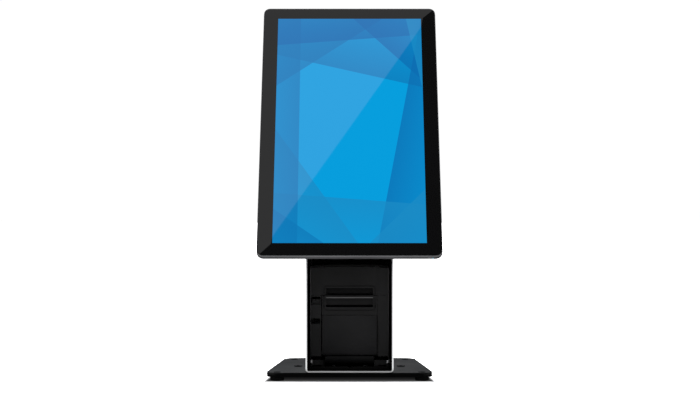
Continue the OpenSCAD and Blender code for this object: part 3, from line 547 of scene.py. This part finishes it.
def loft(rings, closed=False, cap_first=False):
    """Joins rings of equal length into faces; returns the points and faces."""
    n = len(rings[0])
    points = [p for ring in rings for p in ring]
    faces = []
    pairs = [(i, i + 1) for i in range(len(rings) - 1)] + ([(len(rings) - 1, 0)] if closed else [])
    for a, b in pairs:
        for i in range(n):
            j = (i + 1) % n
            faces.append((a * n + i, a * n + j, b * n + j, b * n + i))
    if cap_first:
        faces.append(tuple(range(n))[::-1])
    return points, faces


def head_ring(inset, back):
    """The head's outline drawn in by inset, at a depth behind the glass."""
    radius = max(HEAD_RADIUS - inset, 0.0012)
    outline = rounded_outline(HEAD_W - 2 * inset, HEAD_H - 2 * inset, radius)
    return [on_head(x, back, HEAD_H / 2 + y) for x, y in outline]


def carve(obj, cutters):
    """Cuts closed meshes out of a piece for good."""
    for cutter in cutters:
        tool = obj.modifiers.new("cut", "BOOLEAN")
        tool.operation, tool.solver, tool.object = "DIFFERENCE", "EXACT", cutter
    bpy.context.view_layer.update()
    shape = bpy.data.meshes.new_from_object(obj.evaluated_get(bpy.context.evaluated_depsgraph_get()))
    obj.modifiers.clear()
    obj.data = shape
    for cutter in cutters:
        bpy.data.objects.remove(cutter)


def cutter_box(corners):
    """A closed box from eight points: four at one end, then the four facing them."""
    mesh = bpy.data.meshes.new("cutter")
    sides = [(k, (k + 1) % 4, (k + 1) % 4 + 4, k + 4) for k in range(4)]
    mesh.from_pydata(corners, [], [(3, 2, 1, 0), (4, 5, 6, 7)] + sides)
    obj = bpy.data.objects.new("cutter", mesh)
    scene.collection.objects.link(obj)
    return obj


def sharpen(obj, degrees=32):
    """Smooth shading that stays crisp at folds sharper than this."""
    limit = math.radians(degrees)
    mesh = obj.data
    bm = bmesh.new()
    bm.from_mesh(mesh)
    for edge in bm.edges:
        if len(edge.link_faces) == 2:
            edge.smooth = edge.calc_face_angle(0) < limit
    bm.to_mesh(mesh)
    bm.free()


# ---------------------------------------------------------------- display head

def make_cover_glass():
    """A polished slab with a ground edge; its front is split into the black border and the lit screen."""
    corner = CORNER_STEPS + 1
    n = 4 * corner
    profile = [(1.75, 3.2), (1.45, 3.0), (1.4, 1.0), (1.55, 0.45), (1.95, 0.2), (2.6, 0.15)]
    rings = [head_ring(i * MM, b * MM) for i, b in profile]
    points, faces = loft(rings, cap_first=True)
    last = (len(rings) - 1) * n
    mid = HEAD_H / 2 + SCREEN_UP
    corners = []
    for sx, sy in ((1, -1), (1, 1), (-1, 1), (-1, -1)):
        corners.append(len(points))
        points.append(on_head(sx * SCREEN_W / 2, 0.15 * MM, mid + sy * SCREEN_H / 2))
    for k in range(4):
        ring = [last + k * corner + i for i in range(corner)]
        for i in range(CORNER_STEPS):
            faces.append((ring[i], ring[i + 1], corners[k]))
        following = last + (k + 1) * corner % n
        faces.append((ring[-1], following, corners[(k + 1) % 4], corners[k]))
    faces.append(tuple(corners))
    obj = mesh_piece("cover_glass_slab", points, faces, "display_head",
                     ("cover_glass", "screen_cell"), [mats["cover_glass"], mats["screen_blue"]])
    layer = obj.data.uv_layers.new(name="screen")
    screen = obj.data.polygons[-1]
    screen.material_index = 1
    for loop in screen.loop_indices:
        k = corners.index(obj.data.loops[loop].vertex_index)
        layer.data[loop].uv = ((1, 0), (1, SCREEN_TALL), (0, SCREEN_TALL), (0, 0))[k]
    sharpen(obj)
    return obj


def make_front_frame():
    """The metal frame: a thin front lip, a long front chamfer, a flat side and a rear chamfer."""
    # in from the outline and back from the glass, in mm
    profile = [(1.28, 4.0), (1.28, 0.3), (1.1, 0.04), (0.85, 0.0), (0.62, 0.12), (0.16, 3.3), (0.03, 3.9),
               (0, 4.6), (0, 10.2), (0.08, 10.9), (1.1, 13.3), (1.4, 13.68), (1.8, 13.8), (13.8, 13.8),
               (14, 13.6), (14, 11.8), (3, 11.8), (3, 6), (9.8, 6), (10, 5.8), (10, 4.0)]
    rings = [head_ring(i * MM, b * MM) for i, b in profile]
    points, faces = loft(rings, closed=True)
    obj = mesh_piece("front_frame_rim", points, [f[::-1] for f in faces], "display_head",
                     ("front_frame",), [mats["frame_graphite"], mats["frame_painted_highlight"], mats["frame_painted_shade"]])
    # painted highlight on the front chamfer's bands, painted shade on the rear chamfer and the back
    across = len(rings[0])
    for face in obj.data.polygons:
        band = face.index // across
        face.material_index = 1 if band in (4, 5) else 2 if 8 <= band <= 12 else 0

    def slot_cutter(x0, x1, b0, b1):
        ends = [[on_head(x * MM, b * MM, up * MM) for x, b in ((x0, b0), (x1, b0), (x1, b1), (x0, b1))]
                for up in (-1.0, 4.0)]
        return cutter_box(ends[0] + ends[1])
    low, high = slot_cutter(135.0, 142.0, 6.5, 9.9), slot_cutter(143.1, 145.3, 7.1, 9.3)
    carve(obj, [low, high])
    sharpen(obj)
    return obj


make_cover_glass()
make_front_frame()


# ---------------------------------------------------------------- camera, light and room

camera = bpy.data.objects.new("camera", bpy.data.cameras.new("camera"))
scene.collection.objects.link(camera)
camera.data.lens = 82.08
camera.data.sensor_width = 36
camera.location = (0.0008, -2.8885, 0.3408)
camera.rotation_euler = (math.radians(89.5), 0, 0)
camera.data.clip_end = 60
scene.camera = camera

scene.view_settings.view_transform = "Standard"
scene.view_settings.look = "None"

world = bpy.data.worlds.new("room")
world.use_nodes = True
world.node_tree.nodes["Background"].inputs["Color"].default_value = (1.0, 1.0, 1.0, 1)
world.node_tree.nodes["Background"].inputs["Strength"].default_value = 1.02
world.cycles_visibility.glossy = False
scene.world = world

room = bpy.data.materials.new("pale_floor")
room.use_nodes = True
tree = room.node_tree
tree.nodes.clear()


def floor_math(operation, a, b=0.0):
    node = tree.nodes.new("ShaderNodeMath")
    node.operation = operation
    for socket, value in zip(node.inputs, (a, b)):
        if isinstance(value, (int, float)):
            socket.default_value = value
        else:
            tree.links.new(value, socket)
    return node.outputs[0]


def floor_ramp(value, start, end):
    ramp = tree.nodes.new("ShaderNodeMapRange")
    tree.links.new(value, ramp.inputs["Value"])
    ramp.inputs["From Min"].default_value = start
    ramp.inputs["From Max"].default_value = end
    return ramp.outputs["Result"]


def pale_layer():
    layer = tree.nodes.new("ShaderNodeBsdfDiffuse")
    layer.inputs["Color"].default_value = (0.86, 0.86, 0.87, 1)
    return layer.outputs[0]


def add_shaders(a, b):
    both = tree.nodes.new("ShaderNodeAddShader")
    tree.links.new(a, both.inputs[0])
    tree.links.new(b, both.inputs[1])
    return both.outputs[0]


def mix_shaders(fac, a, b):
    """Shader a where fac is 0 and b where it is 1; without an a, b fades in from nothing."""
    mixed = tree.nodes.new("ShaderNodeMixShader")
    tree.links.new(fac, mixed.inputs[0])
    if a is not None:
        tree.links.new(a, mixed.inputs[1])
    tree.links.new(b, mixed.inputs[2])
    return mixed.outputs[0]


def past_the_base():
    """How far a floor point lies outside the base plate's outline; less than 0 under the plate."""
    low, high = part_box("base_plate")
    place = tree.nodes.new("ShaderNodeSeparateXYZ")
    tree.links.new(tree.nodes.new("ShaderNodeTexCoord").outputs["Object"], place.inputs[0])
    x, y = place.outputs[0], place.outputs[1]
    narrowing = floor_math("MULTIPLY", floor_math("SUBTRACT", y, low.y), base_taper())
    beside = floor_math("ADD", floor_math("SUBTRACT", floor_math("ABSOLUTE", x), high.x), narrowing)
    before = floor_math("SUBTRACT", low.y, y)
    behind = floor_math("SUBTRACT", y, high.y)
    past_side = floor_math("MULTIPLY", floor_math("MAXIMUM", beside, behind), 4)
    return floor_math("MAXIMUM", past_side, before)


# painted shadow: the floor is a clean white all round the base, its extra brightness fades out over the last
# 30 mm towards the base, and under the plate a dim glow, darker further in, stands in for the shade
outside = past_the_base()
painted_shadow_glow = tree.nodes.new("ShaderNodeEmission")
depth = floor_math("POWER", floor_ramp(outside, -0.05, 0.0), 3)
tree.links.new(floor_math("ADD", floor_math("MULTIPLY", depth, 0.08), 0.009), painted_shadow_glow.inputs["Strength"])
extra = mix_shaders(floor_ramp(outside, 0.01, 0.03), None, add_shaders(pale_layer(), pale_layer()))
lifted = add_shaders(pale_layer(), extra)
tree.links.new(mix_shaders(floor_ramp(outside, 0.0, 0.01), painted_shadow_glow.outputs[0], lifted),
               tree.nodes.new("ShaderNodeOutputMaterial").inputs["Surface"])
room.cycles.emission_sampling = "NONE"

FLOOR_HALF = 12
floor_mesh = bpy.data.meshes.new("floor")
corners = [(sx * FLOOR_HALF, sy * FLOOR_HALF, 0) for sx, sy in ((-1, -1), (1, -1), (1, 1), (-1, 1))]
floor_mesh.from_pydata(corners, [], [(0, 1, 2, 3)])
floor_mesh.materials.append(room)
floor = bpy.data.objects.new("floor", floor_mesh)
scene.collection.objects.link(floor)
floor.visible_glossy = False
floor.visible_diffuse = False


def area_light(name, place, aim, size, radiance, colour=(1, 1, 1)):
    light = bpy.data.lights.new(name, "AREA")
    light.color = colour
    light.shape = "RECTANGLE"
    light.size, light.size_y = size
    light.energy = radiance * math.pi * size[0] * size[1]
    obj = bpy.data.objects.new(name, light)
    obj.location = place
    turn = (Vector(aim) - Vector(place)).to_track_quat("-Z", "Y")
    obj.rotation_mode = "QUATERNION"
    obj.rotation_quaternion = turn
    scene.collection.objects.link(obj)
    obj.visible_camera = False
    return obj


def glare_card(distance, radiance, size):
    """A softbox above the camera, turned so that one edge crosses the glass from corner to corner."""
    eye = camera.location
    normal = Vector((0, -math.cos(TILT), math.sin(TILT)))
    middle = Vector(on_head(0, 0, HEAD_H / 2))

    def bounce(x, up):
        spot = Vector(on_head(x, 0, up))
        way = (spot - eye).normalized()
        return spot, way - 2 * way.dot(normal) * normal
    aim = bounce(0, HEAD_H / 2)[1]
    plane = middle + aim * distance

    def hit(x, up):
        spot, way = bounce(x, up)
        return spot + way * ((plane - spot).dot(aim) / way.dot(aim))
    # where its edge shows near the upper right corner and the lower left corner of the glass
    upper, lower = hit(0.1575, HEAD_H - 0.003), hit(-0.1545, 0.004)
    along = (upper - lower).normalized()
    side = along.cross(aim).normalized()
    if side.dot(hit(-0.15, 0.5) - lower) < 0:
        side = -side
    centre = (upper + lower) / 2 + side * size[1] / 2
    facing = along.cross(side)
    if facing.dot(aim) < 0:
        along, facing = -along, -facing
    obj = area_light("glare_card", centre, centre - aim, size, radiance)
    obj.rotation_quaternion = Matrix((along, side, facing)).transposed().to_quaternion()


glare_card(1.5, 0.62, (2.6, 1.5))
area_light("rear_card", (0, 3.2, 0.9), (0, 0, 0.2), (7, 1.8), 0.28, (0.95, 0.98, 1.02))
area_light("left_card", (-3.2, -0.4, 1.2), (0, 0, 0.4), (4, 2.2), 0.8)
area_light("right_card", (3.2, -0.4, 1.2), (0, 0, 0.4), (4, 2.2), 0.8)
sun = bpy.data.objects.new("soft_top_light", bpy.data.lights.new("soft_top_light", "SUN"))
sun.data.energy = 0.5
sun.data.angle = math.radians(40)
sun.rotation_euler = (math.radians(-12), math.radians(8), 0)
scene.collection.objects.link(sun)
